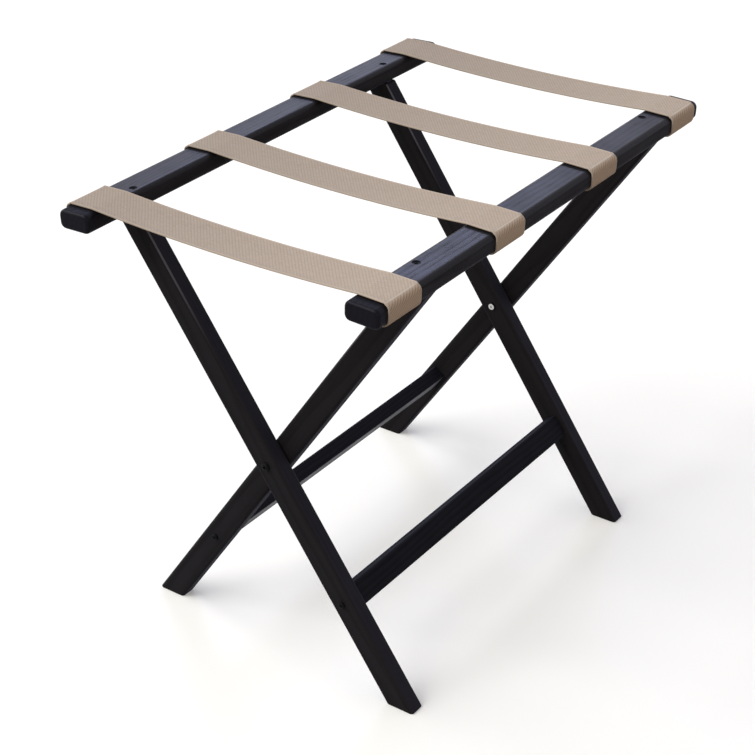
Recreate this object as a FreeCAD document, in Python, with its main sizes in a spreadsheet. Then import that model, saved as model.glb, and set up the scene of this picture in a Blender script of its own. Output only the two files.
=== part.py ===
"""Folding luggage rack: two crossed wooden frames, two pivots and four webbing straps.

Axes: X runs across the rack from the left rail to the right one, Y along the rails from
front to back, and Z up from the floor. The origin is on the floor under the middle.
The two frames are one frame twice: the right one is the left one turned half a turn
about Z. Each frame is worked out here as the left frame, whose rail is at -X, whose
outer leg is its front one and whose inner leg is its back one.
"""
import FreeCAD, Part

import math
import os

import Sketcher

SIZES = {
    # rails, in millimetres and degrees
    "rail_length": 600,
    "rail_width": 38,
    "rail_thickness": 20,
    "rail_edge_radius": 6.5,
    "rail_end_radius": 3.5,
    "rail_tilt": 2,  # the outer edge is the lower one
    "rail_outset": 3.4,  # from the leg's centre line out to the rail's
    "rail_overhang": 67.5,  # past the outer leg, at each end
    # legs
    "seat_height": 478.1,  # where a leg's centre line meets the underside of its rail
    "pivot_height": 237.5,
    "leg_angle": 34.6,  # from upright, fully open
    "leg_width": 28,
    "leg_thickness": 19,
    "leg_edge_radius": 3.5,
    "sole_edge_radius": 1.2,
    # tenon on each leg, in a mortise in its rail
    "tenon_width": 16,
    "tenon_thickness": 9,
    "tenon_height": 11,
    "glue_gap": 0.1,
    # rungs
    "rung_drop": 162.5,  # along the leg, from the pivot to the rung
    "rung_width": 26.5,
    "rung_thickness": 17.5,
    "rung_edge_radius": 3,
    "dowel_diameter": 6,
    "dowel_length": 24,
    "dowel_in_leg": 10,
    "dowel_rise": 7.5,  # up the leg, from the rung screw to the dowel
    # screw through each rail into the leg below, with a sunk flat head
    "rail_screw_inset": 5.2,  # from the leg's centre line towards the middle of the rack
    "rail_screw_diameter": 4,
    "rail_screw_length": 38,
    "rail_screw_head": 8,
    "rail_screw_sink": 1,
    "rail_screw_room": 0.3,  # round the head
    # screw through each leg into the end of the rung, with a round head
    "rung_screw_diameter": 4,
    "rung_screw_length": 45,
    "rung_screw_head": 7.4,
    "rung_screw_head_height": 2.8,
    "screw_point": 4,  # length of a wood screw's tip
    "recess_depth": 1.6,  # of the cross in a screw's head
    "recess_reach": 0.3,  # of each arm of the cross, as a share of the head
    "recess_arm": 0.07,  # half its arms' width, as a share of the head
    "dome": 0.8,  # how much of a round head's height its edge is rounded by
    # pivots: a bolt from the outer leg, in a sleeve nut from the inner leg
    "bolt_diameter": 5,
    "bolt_length": 28,
    "bolt_head": 9.4,
    "bolt_head_height": 3.2,
    "nut_barrel": 7,
    "nut_short": 2,  # from the end of the barrel out to the outer leg's face
    "nut_bore_room": 2,  # past the end of the bolt
    "nut_head": 9.6,
    "nut_head_height": 1.6,
    "socket_flats": 3,
    "socket_depth": 2,
    "running_clearance": 0.05,  # round the barrel, in the leg that turns on it
    "washer_diameter": 18,
    "washer_thickness": 1,
    "side_play": 0.1,  # on each side of the leg that turns
    # straps
    "strap_width": 50,
    "strap_thickness": 1.8,
    "strap_sag": 5,
    "strap_under": 27,  # under the rail, from its outer edge
    "strap_clearance": 0.3,  # off the wood
    "front_strap_gap": 4.5,  # from the front outer leg out to the front strap
    "front_strap_spacing": 174.3,  # from the front strap to the next one
    "back_strap_gap": 5.5,
    "back_strap_spacing": 172,
    # staples that hold a strap end, under the rail
    "staple_crown": 10,
    "staple_wire": 1,
    "staple_bite": 7,  # into the rail
    "staple_spacing": 15,
    "staple_inset": 6,  # from the strap's end
    "staple_room": 0.3,  # round each prong, in the strap
}
STAPLES_IN_A_ROW = 3

# Lengths along the rack, the legs and the fasteners, as expressions on the cells
CROSSING_GAP = "(sizes.washer_thickness + sizes.side_play)"
OUTER_LEG = "(sizes.rail_length / 2 - sizes.rail_overhang - sizes.leg_thickness / 2)"
INNER_LEG = f"({OUTER_LEG} - sizes.leg_thickness - {CROSSING_GAP})"
LEG_SPREAD = f"({OUTER_LEG} + {INNER_LEG})"
FRAME_MIDDLE = f"(({INNER_LEG} - {OUTER_LEG}) / 2)"
RUNG_LENGTH = f"({LEG_SPREAD} - sizes.leg_thickness)"
LEG_RISE = "((sizes.seat_height - sizes.pivot_height) / cos(sizes.leg_angle))"
LEG_DROP = "(sizes.pivot_height / cos(sizes.leg_angle))"
SEAT_SLOPE = "(sizes.leg_angle - sizes.rail_tilt)"
SEAT_OUT = "((sizes.seat_height - sizes.pivot_height) * tan(sizes.leg_angle))"
RAIL_OUTER = "(-sizes.rail_outset - sizes.rail_width / 2)"
SCREW_TOP = "(sizes.rail_thickness - sizes.rail_screw_sink)"
SCREW_TIP = f"({SCREW_TOP} - sizes.rail_screw_length)"
SCREW_CONE = "((sizes.rail_screw_head - sizes.rail_screw_diameter) / 2)"
PIVOT_BORE = "(sizes.nut_barrel + 2 * sizes.running_clearance)"
NUT_SEAT = f"(2 * sizes.leg_thickness + {CROSSING_GAP} + sizes.side_play)"
STRAP_END = f"({RAIL_OUTER} + sizes.strap_under)"
STAPLE_LINE = f"({STRAP_END} - sizes.staple_inset)"
STAPLE_FACE = "(-sizes.strap_clearance - sizes.strap_thickness)"
LEG_TO_STRAP = f"({OUTER_LEG} + sizes.leg_thickness / 2 + sizes.strap_width / 2)"
STRAP_PLACES = {
    "front_strap": f"(-{LEG_TO_STRAP} - sizes.front_strap_gap)",
    "front_middle_strap":
        f"(-{LEG_TO_STRAP} - sizes.front_strap_gap + sizes.front_strap_spacing)",
    "back_middle_strap":
        f"({LEG_TO_STRAP} + sizes.back_strap_gap - sizes.back_strap_spacing)",
    "back_strap": f"({LEG_TO_STRAP} + sizes.back_strap_gap)",
}
NO_TURN = "rotation(vector(0; 0; 1); 0)"
UNDERCUT = 1  # how far a cut or a root runs past the face that it starts from
SLOPE_ROUNDS = 8  # a strap's slope at the rail depends on itself a little
UP, OUTWARD, DOWN = 90, 180, 270  # degrees from +X towards +Z, for the left rail

doc = FreeCAD.newDocument("luggage_rack")
sheet = doc.addObject("Spreadsheet::Sheet", "sizes")
for row, (alias, value) in enumerate(SIZES.items(), start=1):
    sheet.set(f"A{row}", alias.replace("_", " "))
    sheet.set(f"B{row}", str(value))
    sheet.setAlias(f"B{row}", alias)
doc.recompute()


def number(expression):
    """What an expression on the cells comes to now."""
    return float(sheet.evalExpression(expression))


def origin_part(body, role):
    """One of a body's own origin planes or axes."""
    return next(part for part in body.Origin.OriginFeatures if part.Role == role)


def new_body(name):
    body = doc.addObject("PartDesign::Body", name)
    body.AllowCompound = True
    return body


def new_sketch(body, name, role, offset=None):
    """A sketch on one of the body's origin planes. offset is a placement expression."""
    sketch = body.newObject("Sketcher::SketchObject", name)
    sketch.AttachmentSupport = [(origin_part(body, role), "")]
    sketch.MapMode = "FlatFace"
    if offset:
        sketch.setExpression("AttachmentOffset", offset)
    return sketch


def lifted(distance):
    """A sketch's offset along its plane's normal."""
    return f"placement(vector(0; 0; {distance}); {NO_TURN})"


def draw_outlines(sketch, outlines):
    """Closed polygons, each a list of corners whose two places are expressions."""
    lines = []
    constraints = []
    bindings = []
    for corners in outlines:
        first = len(lines)
        count = len(corners)
        points = [FreeCAD.Vector(number(x), number(y), 0) for x, y in corners]
        for index, point in enumerate(points):
            line = first + index
            after = first + (index + 1) % count
            lines.append(Part.LineSegment(point, points[(index + 1) % count]))
            constraints.append(Sketcher.Constraint("Coincident", line, 2, after, 1))
        for index, point in enumerate(points):
            line = first + index
            bindings.append((len(constraints), corners[index][0]))
            constraints.append(Sketcher.Constraint("DistanceX", -1, 1, line, 1, point.x))
            bindings.append((len(constraints), corners[index][1]))
            constraints.append(Sketcher.Constraint("DistanceY", -1, 1, line, 1, point.y))
    sketch.addGeometry(lines)
    sketch.addConstraint(constraints)
    for place, expression in bindings:
        sketch.setExpression(f"Constraints[{place}]", expression)


def rectangle(low_x, low_y, high_x, high_y):
    """The corners of an upright rectangle."""
    return [(low_x, low_y), (high_x, low_y), (high_x, high_y), (low_x, high_y)]


def draw_circle(sketch, x, y, diameter):
    centre = FreeCAD.Vector(number(x), number(y), 0)
    circle = Part.Circle(centre, FreeCAD.Vector(0, 0, 1), number(diameter) / 2)
    index = sketch.addGeometry(circle)
    for kind, expression in (("DistanceX", x), ("DistanceY", y)):
        start = number(expression)
        place = sketch.addConstraint(Sketcher.Constraint(kind, -1, 1, index, 3, start))
        sketch.setExpression(f"Constraints[{place}]", expression)
    place = sketch.addConstraint(Sketcher.Constraint("Diameter", index, number(diameter)))
    sketch.setExpression(f"Constraints[{place}]", diameter)


def pad(body, sketch, length):
    """The sketch thickened by half the length to each side."""
    feature = body.newObject("PartDesign::Pad", "pad")
    feature.Profile = sketch
    feature.SideType = "Symmetric"
    feature.setExpression("Length", length)
    doc.recompute()
    return feature


def pocket(body, sketch, length, side="One side", backwards=False):
    """Wood cut away over the sketch, which has to take something off the body."""
    before = body.Shape.Volume
    feature = body.newObject("PartDesign::Pocket", "pocket")
    feature.Profile = sketch
    feature.SideType = side
    feature.Reversed = backwards
    feature.setExpression("Length", length)
    doc.recompute()
    if body.Shape.Volume >= before:
        raise RuntimeError(f"{body.Name}: {sketch.Label} cuts nothing")
    return feature


def turned(body, sketch, axis, cut=False):
    """The sketch turned a full turn about one of its own axes, added or cut away."""
    kind = "PartDesign::Groove" if cut else "PartDesign::Revolution"
    feature = body.newObject(kind, "turned")
    feature.Profile = sketch
    feature.ReferenceAxis = (sketch, [axis])
    feature.Angle = 360
    doc.recompute()
    return feature


def fillet(body, radius, chosen):
    """Rounds the edges of the body's last shape for which chosen(edge) is true."""
    base = body.Tip
    names = [
        f"Edge{index}"
        for index, edge in enumerate(base.Shape.Edges, start=1)
        if chosen(edge)
    ]
    feature = body.newObject("PartDesign::Fillet", "rounded")
    feature.Base = (base, names)
    feature.setExpression("Radius", radius)
    doc.recompute()
    return feature


def repeated(body, name, features, kind):
    """A pattern of some of the body's features, or of its whole shape if none is named."""
    pattern = body.newObject(kind, name)
    if features:
        pattern.Originals = features
    else:
        pattern.TransformMode = "Whole shape"
    body.Tip = pattern
    return pattern


def second_leg_too(body, features=()):
    """Repeats what was made over a frame's front leg over its back leg."""
    pattern = repeated(body, "both_legs", list(features), "PartDesign::LinearPattern")
    pattern.Direction = (origin_part(body, "Y_Axis"), [""])
    pattern.Occurrences = 2
    pattern.setExpression("Length", LEG_SPREAD)
    doc.recompute()


def second_end_too(body, features=()):
    """Repeats what was made at a rung's front end, mirrored, at its back end."""
    pattern = repeated(body, "both_ends", list(features), "PartDesign::Mirrored")
    pattern.MirrorPlane = (origin_part(body, "XZ_Plane"), [""])
    doc.recompute()


def settle(body, turn, place, lean):
    """Puts a body of the left frame in place, then turns it with its frame about Z."""
    x, y, z = place
    body.setExpression(
        "Placement",
        f"placement(vector(0; 0; 0); rotation(vector(0; 0; 1); {turn}))"
        f" * placement(vector({x}; {y}; {z}); rotation(vector(0; 1; 0); {lean}))",
    )
    doc.recompute()


def settle_on_seat(body, turn):
    """For a rail and what is on it: the origin is where the leg meets the rail."""
    settle(body, turn, (f"-{SEAT_OUT}", "0", "sizes.seat_height"), "-sizes.rail_tilt")


def settle_on_leg(body, turn, drop, y):
    """For what lies across the legs: the origin is that far down them from the pivot."""
    x = f"{drop} * sin(sizes.leg_angle)"
    z = f"sizes.pivot_height - {drop} * cos(sizes.leg_angle)"
    settle(body, turn, (x, y, z), "-sizes.leg_angle")


def runs_along(direction):
    """A test for straight edges in that direction."""

    def chosen(edge):
        if not isinstance(edge.Curve, Part.Line):
            return False
        return abs(edge.tangentAt(edge.FirstParameter).dot(direction)) > 0.999

    return chosen


def lies_at(axis, places):
    """A test for edges that lie wholly in a plane across an axis, at one of the places."""

    def chosen(edge):
        low = getattr(edge.BoundBox, f"{axis}Min")
        high = getattr(edge.BoundBox, f"{axis}Max")
        return any(max(abs(low - place), abs(high - place)) < 0.01 for place in places)

    return chosen


def rail_screw_line(seat):
    """Puts a sketch upright on a seat, with its own vertical axis along the rail screw."""
    return f"{seat} * placement(vector(sizes.rail_screw_inset; 0; 0); {NO_TURN})"


def rail_screw_outline(room):
    """Half a rail screw, or its hole, up from the tip, measured from the seat.

    room is what the hole leaves round the head, and "0" for the screw itself.
    """
    shank = "sizes.rail_screw_diameter / 2"
    return [
        ("0", SCREW_TIP),
        (shank, f"{SCREW_TIP} + sizes.screw_point"),
        (shank, f"{SCREW_TOP} - {SCREW_CONE} - {room}"),
        (f"sizes.rail_screw_head / 2 + {room}", SCREW_TOP),
        ("0", SCREW_TOP),
    ]


def cross_outline(head):
    """The plus-shaped recess in a screw's head, of which the diameter is given."""
    reach = f"{head} * sizes.recess_reach"
    half = f"{head} * sizes.recess_arm"
    return [
        (f"-{half}", f"-{reach}"),
        (half, f"-{reach}"),
        (half, f"-{half}"),
        (reach, f"-{half}"),
        (reach, half),
        (half, half),
        (half, reach),
        (f"-{half}", reach),
        (f"-{half}", half),
        (f"-{reach}", half),
        (f"-{reach}", f"-{half}"),
        (f"-{half}", f"-{half}"),
    ]


def hexagon_outline(flats):
    """A hexagon of that width across its flats."""
    corner = f"{flats} / 2 / cos(30)"
    return [(f"{corner} * cos({60 * k})", f"{corner} * sin({60 * k})") for k in range(6)]


def make_rail(name, turn):
    """A rail, with a mortise and a sunk screw hole over each leg."""
    body = new_body(name)
    section = new_sketch(body, f"{name}_section", "XZ_Plane")
    inner = f"{RAIL_OUTER} + sizes.rail_width"
    draw_outlines(section, [rectangle(RAIL_OUTER, "0", inner, "sizes.rail_thickness")])
    pad(body, section, "sizes.rail_length")
    fillet(body, "sizes.rail_edge_radius", runs_along(FreeCAD.Vector(0, 1, 0)))
    end = number("sizes.rail_length / 2")
    fillet(body, "sizes.rail_end_radius", lies_at("Y", (-end, end)))

    mortise = new_sketch(body, f"{name}_mortise", "XY_Plane")
    half_width = "(sizes.tenon_width / 2 + sizes.glue_gap)"
    half_depth = "(sizes.tenon_thickness / 2 + sizes.glue_gap)"
    corners = rectangle(
        f"sizes.rail_screw_inset - {half_width}",
        f"-{OUTER_LEG} - {half_depth}",
        f"sizes.rail_screw_inset + {half_width}",
        f"-{OUTER_LEG} + {half_depth}",
    )
    draw_outlines(mortise, [corners])
    depth = "sizes.tenon_height + sizes.glue_gap"
    mortise_cut = pocket(body, mortise, depth, backwards=True)

    line = rail_screw_line(lifted(OUTER_LEG))
    hole = new_sketch(body, f"{name}_screw_hole", "XZ_Plane", line)
    outline = rail_screw_outline("sizes.rail_screw_room")
    mouth = f"sizes.rail_thickness + {UNDERCUT}"
    outline[-1:] = [(outline[-2][0], mouth), ("0", mouth)]
    draw_outlines(hole, [outline])
    hole_cut = turned(body, hole, "V_Axis", cut=True)
    second_leg_too(body, [mortise_cut, hole_cut])
    settle_on_seat(body, turn)
    return body


def make_rail_screws(name, turn):
    """The two sunk screws of a rail, drawn in the rail's own frame."""
    body = new_body(name)
    line = rail_screw_line(lifted(OUTER_LEG))
    profile = new_sketch(body, f"{name}_profile", "XZ_Plane", line)
    draw_outlines(profile, [rail_screw_outline("0")])
    turned(body, profile, "V_Axis")
    top = f"placement(vector(sizes.rail_screw_inset; -{OUTER_LEG}; {SCREW_TOP}); {NO_TURN})"
    recess = new_sketch(body, f"{name}_recess", "XY_Plane", top)
    draw_outlines(recess, [cross_outline("sizes.rail_screw_head")])
    pocket(body, recess, "sizes.recess_depth")
    second_leg_too(body)
    settle_on_seat(body, turn)
    return body


def make_leg(name, turn, y, rung_side):
    """A leg, drawn upright with its origin at the pivot. rung_side is 1 if its rung is
    on the leg's +Y side and -1 if it is on the other, before the frame is turned.
    """
    body = new_body(name)
    side = new_sketch(body, f"{name}_side", "XZ_Plane")
    half = "sizes.leg_width / 2"
    heel = f"{half} * tan(sizes.leg_angle)"
    shoulder = f"{half} * tan({SEAT_SLOPE})"
    corners = [
        (f"-{half}", f"-{LEG_DROP} + {heel}"),
        (half, f"-{LEG_DROP} - {heel}"),
        (half, f"{LEG_RISE} - {shoulder}"),
        (f"-{half}", f"{LEG_RISE} + {shoulder}"),
    ]
    draw_outlines(side, [corners])
    pad(body, side, "sizes.leg_thickness")
    fillet(body, "sizes.leg_edge_radius", runs_along(FreeCAD.Vector(0, 0, 1)))
    fillet(body, "sizes.sole_edge_radius", lies_on_sole)

    seat = f"placement(vector(0; {LEG_RISE}; 0); rotation(vector(0; 0; 1); -{SEAT_SLOPE}))"
    tenon = new_sketch(body, f"{name}_tenon", "XZ_Plane", rail_screw_line(seat))
    half_tenon = "sizes.tenon_width / 2"
    outline = rectangle(f"-{half_tenon}", f"-{UNDERCUT}", half_tenon, "sizes.tenon_height")
    draw_outlines(tenon, [outline])
    pad(body, tenon, "sizes.tenon_thickness")
    hole = new_sketch(body, f"{name}_rail_screw_hole", "XZ_Plane", rail_screw_line(seat))
    outline = rail_screw_outline("0")[:2]
    mouth = f"sizes.tenon_height + {UNDERCUT}"
    outline += [(outline[-1][0], mouth), ("0", mouth)]
    draw_outlines(hole, [outline])
    turned(body, hole, "V_Axis", cut=True)

    right_through = f"sizes.leg_thickness + 2 * {UNDERCUT}"
    pivot = new_sketch(body, f"{name}_pivot_hole", "XZ_Plane")
    draw_circle(pivot, "0", "0", PIVOT_BORE)
    pocket(body, pivot, right_through, side="Symmetric")
    screw = new_sketch(body, f"{name}_rung_screw_hole", "XZ_Plane")
    draw_circle(screw, "0", "-sizes.rung_drop", "sizes.rung_screw_diameter")
    pocket(body, screw, right_through, side="Symmetric")
    rung_face = lifted(f"{-rung_side} * sizes.leg_thickness / 2")
    dowel = new_sketch(body, f"{name}_dowel_hole", "XZ_Plane", rung_face)
    draw_circle(dowel, "0", "sizes.dowel_rise - sizes.rung_drop", "sizes.dowel_diameter")
    depth = "sizes.dowel_in_leg + sizes.glue_gap"
    pocket(body, dowel, depth, backwards=rung_side > 0)
    settle_on_leg(body, turn, "0", y)
    return body


def lies_on_sole(edge):
    """True for the edges round a leg's foot, in the leg's own upright frame."""
    angle = math.radians(number("sizes.leg_angle"))
    floor = -number("sizes.pivot_height")
    heights = [
        point.x * math.sin(angle) + point.z * math.cos(angle)
        for point in edge.discretize(3)
    ]
    return max(abs(height - floor) for height in heights) < 0.01


def make_rung(name, turn):
    """A rung, drawn with its origin at its middle."""
    body = new_body(name)
    section = new_sketch(body, f"{name}_section", "XZ_Plane")
    half_thick = "sizes.rung_thickness / 2"
    half_wide = "sizes.rung_width / 2"
    corners = rectangle(f"-{half_thick}", f"-{half_wide}", half_thick, half_wide)
    draw_outlines(section, [corners])
    pad(body, section, RUNG_LENGTH)
    fillet(body, "sizes.rung_edge_radius", runs_along(FreeCAD.Vector(0, 1, 0)))
    front_end = lifted(f"{RUNG_LENGTH} / 2")
    screw = new_sketch(body, f"{name}_screw_hole", "XZ_Plane", front_end)
    draw_circle(screw, "0", "0", "sizes.rung_screw_diameter")
    screw_cut = pocket(body, screw, "sizes.rung_screw_length - sizes.leg_thickness")
    dowel = new_sketch(body, f"{name}_dowel_hole", "XZ_Plane", front_end)
    draw_circle(dowel, "0", "sizes.dowel_rise", "sizes.dowel_diameter")
    depth = "sizes.dowel_length - sizes.dowel_in_leg + sizes.glue_gap"
    dowel_cut = pocket(body, dowel, depth)
    second_end_too(body, [screw_cut, dowel_cut])
    settle_on_leg(body, turn, "sizes.rung_drop", FRAME_MIDDLE)
    return body


def make_rung_screws(name, turn):
    """The two round-headed screws of a rung, drawn in the rung's own frame."""
    body = new_body(name)
    face = f"(-{RUNG_LENGTH} / 2 - sizes.leg_thickness)"
    crown = f"{face} - sizes.rung_screw_head_height"
    tip = f"{face} + sizes.rung_screw_length"
    shank = "sizes.rung_screw_diameter / 2"
    head = "sizes.rung_screw_head / 2"
    profile = new_sketch(body, f"{name}_profile", "YZ_Plane")
    corners = [
        (crown, "0"),
        (crown, head),
        (face, head),
        (face, shank),
        (f"{tip} - sizes.screw_point", shank),
        (tip, "0"),
    ]
    draw_outlines(profile, [corners])
    turned(body, profile, "H_Axis")
    fillet(body, "sizes.rung_screw_head_height * sizes.dome", lies_at("Y", (number(crown),)))
    recess = new_sketch(body, f"{name}_recess", "XZ_Plane", lifted(f"-({crown})"))
    draw_outlines(recess, [cross_outline("sizes.rung_screw_head")])
    pocket(body, recess, "sizes.recess_depth")
    second_end_too(body)
    settle_on_leg(body, turn, "sizes.rung_drop", FRAME_MIDDLE)
    return body


def make_rung_dowels(name, turn):
    """The two glued dowels of a rung, drawn in the rung's own frame."""
    body = new_body(name)
    start = lifted(f"{RUNG_LENGTH} / 2 + sizes.dowel_in_leg - sizes.dowel_length / 2")
    section = new_sketch(body, f"{name}_section", "XZ_Plane", start)
    draw_circle(section, "0", "sizes.dowel_rise", "sizes.dowel_diameter")
    pad(body, section, "sizes.dowel_length")
    second_end_too(body)
    settle_on_leg(body, turn, "sizes.rung_drop", FRAME_MIDDLE)
    return body


def settle_at_crossing(body, turn):
    """For a pivot's pieces: the origin is on the outer leg's outer face."""
    settle_on_leg(body, turn, "0", f"-{OUTER_LEG} - sizes.leg_thickness / 2")


def make_pivot_bolt(name, turn):
    """The domed bolt that goes in from the outer leg."""
    body = new_body(name)
    crown = "-sizes.bolt_head_height"
    profile = new_sketch(body, f"{name}_profile", "YZ_Plane")
    corners = [
        (crown, "0"),
        (crown, "sizes.bolt_head / 2"),
        ("0", "sizes.bolt_head / 2"),
        ("0", "sizes.bolt_diameter / 2"),
        ("sizes.bolt_length", "sizes.bolt_diameter / 2"),
        ("sizes.bolt_length", "0"),
    ]
    draw_outlines(profile, [corners])
    turned(body, profile, "H_Axis")
    fillet(body, "sizes.bolt_head_height * sizes.dome", lies_at("Y", (number(crown),)))
    socket = new_sketch(body, f"{name}_socket", "XZ_Plane", lifted("sizes.bolt_head_height"))
    draw_outlines(socket, [hexagon_outline("sizes.socket_flats")])
    pocket(body, socket, "sizes.socket_depth")
    settle_at_crossing(body, turn)
    return body


def make_pivot_nut(name, turn):
    """The sleeve nut from the inner leg, whose barrel both legs are threaded on."""
    body = new_body(name)
    bore = "sizes.bolt_diameter / 2"
    barrel = "sizes.nut_barrel / 2"
    bore_end = "sizes.bolt_length + sizes.nut_bore_room"
    crown = f"{NUT_SEAT} + sizes.nut_head_height"
    profile = new_sketch(body, f"{name}_profile", "YZ_Plane")
    corners = [
        ("sizes.nut_short", bore),
        ("sizes.nut_short", barrel),
        (NUT_SEAT, barrel),
        (NUT_SEAT, "sizes.nut_head / 2"),
        (crown, "sizes.nut_head / 2"),
        (crown, "0"),
        (bore_end, "0"),
        (bore_end, bore),
    ]
    draw_outlines(profile, [corners])
    turned(body, profile, "H_Axis")
    fillet(body, "sizes.nut_head_height / 2", lies_at("Y", (number(crown),)))
    socket = new_sketch(body, f"{name}_socket", "XZ_Plane", lifted(f"-({crown})"))
    draw_outlines(socket, [hexagon_outline("sizes.socket_flats")])
    pocket(body, socket, "sizes.socket_depth", backwards=True)
    settle_at_crossing(body, turn)
    return body


def make_pivot_washer(name, turn):
    """The plastic washer between the crossing legs."""
    body = new_body(name)
    middle = "sizes.leg_thickness + sizes.washer_thickness / 2"
    section = new_sketch(body, f"{name}_section", "XZ_Plane", lifted(f"-({middle})"))
    draw_circle(section, "0", "0", "sizes.washer_diameter")
    draw_circle(section, "0", "0", PIVOT_BORE)
    pad(body, section, "sizes.washer_thickness")
    settle_at_crossing(body, turn)
    return body


def staple_outline(middle):
    """A staple seen along the rack: its crown under the strap, its prongs in the rail."""
    half = "sizes.staple_crown / 2"
    inside = f"({half} - sizes.staple_wire)"
    under = f"{STAPLE_FACE} - sizes.staple_wire"
    return [
        (f"{middle} - {half}", "sizes.staple_bite"),
        (f"{middle} - {half}", under),
        (f"{middle} + {half}", under),
        (f"{middle} + {half}", "sizes.staple_bite"),
        (f"{middle} + {inside}", "sizes.staple_bite"),
        (f"{middle} + {inside}", STAPLE_FACE),
        (f"{middle} - {inside}", STAPLE_FACE),
        (f"{middle} - {inside}", "sizes.staple_bite"),
    ]


def staple_steps():
    """How many spacings each staple of a row is from the strap's middle."""
    return [step - (STAPLES_IN_A_ROW - 1) / 2 for step in range(STAPLES_IN_A_ROW)]


def make_staples(name, turn):
    """A row of staples under each strap's end, drawn in the rail's own frame."""
    body = new_body(name)
    heading = "-" if turn else ""
    middles = [
        f"{heading}{place} + {step} * sizes.staple_spacing"
        for place in STRAP_PLACES.values()
        for step in staple_steps()
    ]
    profile = new_sketch(body, f"{name}_profile", "YZ_Plane", lifted(STAPLE_LINE))
    draw_outlines(profile, [staple_outline(middle) for middle in middles])
    pad(body, profile, "sizes.staple_wire")
    settle_on_seat(body, turn)
    return body


def rail_frame():
    """The left rail's own frame: where its drawing's origin is, and how it leans."""
    place = FreeCAD.Vector(-number(SEAT_OUT), 0, number("sizes.seat_height"))
    lean = FreeCAD.Rotation(FreeCAD.Vector(0, 1, 0), -number("sizes.rail_tilt"))
    return FreeCAD.Placement(place, lean)


def around(centre, radius, start, end):
    """An arc in the XZ plane between two angles, in degrees from +X towards +Z."""
    points = []
    for angle in (start, (start + end) / 2, end):
        turn = math.radians(angle)
        reach = FreeCAD.Vector(math.cos(turn), 0, math.sin(turn)) * radius
        points.append(centre + reach)
    return Part.Arc(*points).toShape()


def strap_line(offset):
    """A strap's surface that lies that far off the rails, from one end to the other.

    From the end under the left rail it goes out, up the rail's outer edge, over its top
    and down in a shallow arc to the middle of the rack, and on to the other end.
    """
    frame = rail_frame()
    tilt = number("sizes.rail_tilt")
    radius = number("sizes.rail_edge_radius")
    outer = number(RAIL_OUTER)
    inner = outer + number("sizes.rail_width")
    top = number("sizes.rail_thickness")

    def spot(x, z):
        return frame.multVec(FreeCAD.Vector(x, 0, z))

    low_corner = spot(outer + radius, radius)
    high_corner = spot(outer + radius, top - radius)
    inner_corner = spot(inner - radius, top - radius)
    slope = 0.0
    for _ in range(SLOPE_ROUNDS):
        reach = -inner_corner.x - radius * math.sin(slope)
        slope = 2 * math.atan(number("sizes.strap_sag") / reach)
    leaving = math.degrees(slope)
    bend = radius + offset
    off_rail = inner_corner + FreeCAD.Vector(math.sin(slope), 0, math.cos(slope)) * bend
    sweep = -off_rail.x / math.sin(slope)
    hub = FreeCAD.Vector(0, 0, off_rail.z + sweep * math.cos(slope))
    half = [
        Part.LineSegment(
            spot(number(STRAP_END), -offset), spot(outer + radius, -offset)
        ).toShape(),
        around(low_corner, bend, DOWN + tilt, OUTWARD + tilt),
        Part.LineSegment(
            spot(outer - offset, radius), spot(outer - offset, top - radius)
        ).toShape(),
        around(high_corner, bend, OUTWARD + tilt, UP + tilt),
        Part.LineSegment(
            spot(outer + radius, top + offset), spot(inner - radius, top + offset)
        ).toShape(),
        around(inner_corner, bend, UP + tilt, UP - leaving),
        around(hub, sweep, DOWN - leaving, DOWN),
    ]
    middle = FreeCAD.Vector(0, 0, 0)
    other = [edge.mirror(middle, FreeCAD.Vector(1, 0, 0)) for edge in half]
    return half + other


def make_strap(name):
    """A strap with slots for its staples, drawn at the middle of the rails."""
    clearance = number("sizes.strap_clearance")
    under = strap_line(clearance)
    over = strap_line(clearance + number("sizes.strap_thickness"))
    half = len(under) // 2
    closings = [
        Part.LineSegment(
            under[start].Vertexes[0].Point, over[start].Vertexes[0].Point
        ).toShape()
        for start in (0, half)
    ]
    outline = Part.Wire(Part.__sortEdges__(under + over + closings))
    width = number("sizes.strap_width")
    band = Part.Face(outline).extrude(FreeCAD.Vector(0, width, 0))
    band.translate(FreeCAD.Vector(0, -width / 2, 0))

    room = number("sizes.staple_wire + 2 * sizes.staple_room")
    deep = number("sizes.strap_thickness") + 2 * UNDERCUT
    prong = number("sizes.staple_crown / 2 - sizes.staple_wire / 2")
    slots = []
    for step in staple_steps():
        middle = step * number("sizes.staple_spacing")
        for y in (middle - prong, middle + prong):
            corner = FreeCAD.Vector(
                number(STAPLE_LINE) - room / 2, y - room / 2, number(STAPLE_FACE) - UNDERCUT
            )
            slot = Part.makeBox(room, room, deep, corner)
            slot.Placement = rail_frame()
            slots.append(slot)
            slots.append(slot.mirror(FreeCAD.Vector(0, 0, 0), FreeCAD.Vector(1, 0, 0)))
    strap = doc.addObject("Part::Feature", name)
    strap.Shape = band.cut(slots)
    strap.setExpression("Placement.Base.y", STRAP_PLACES[name])
    doc.recompute()
    return strap


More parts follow.
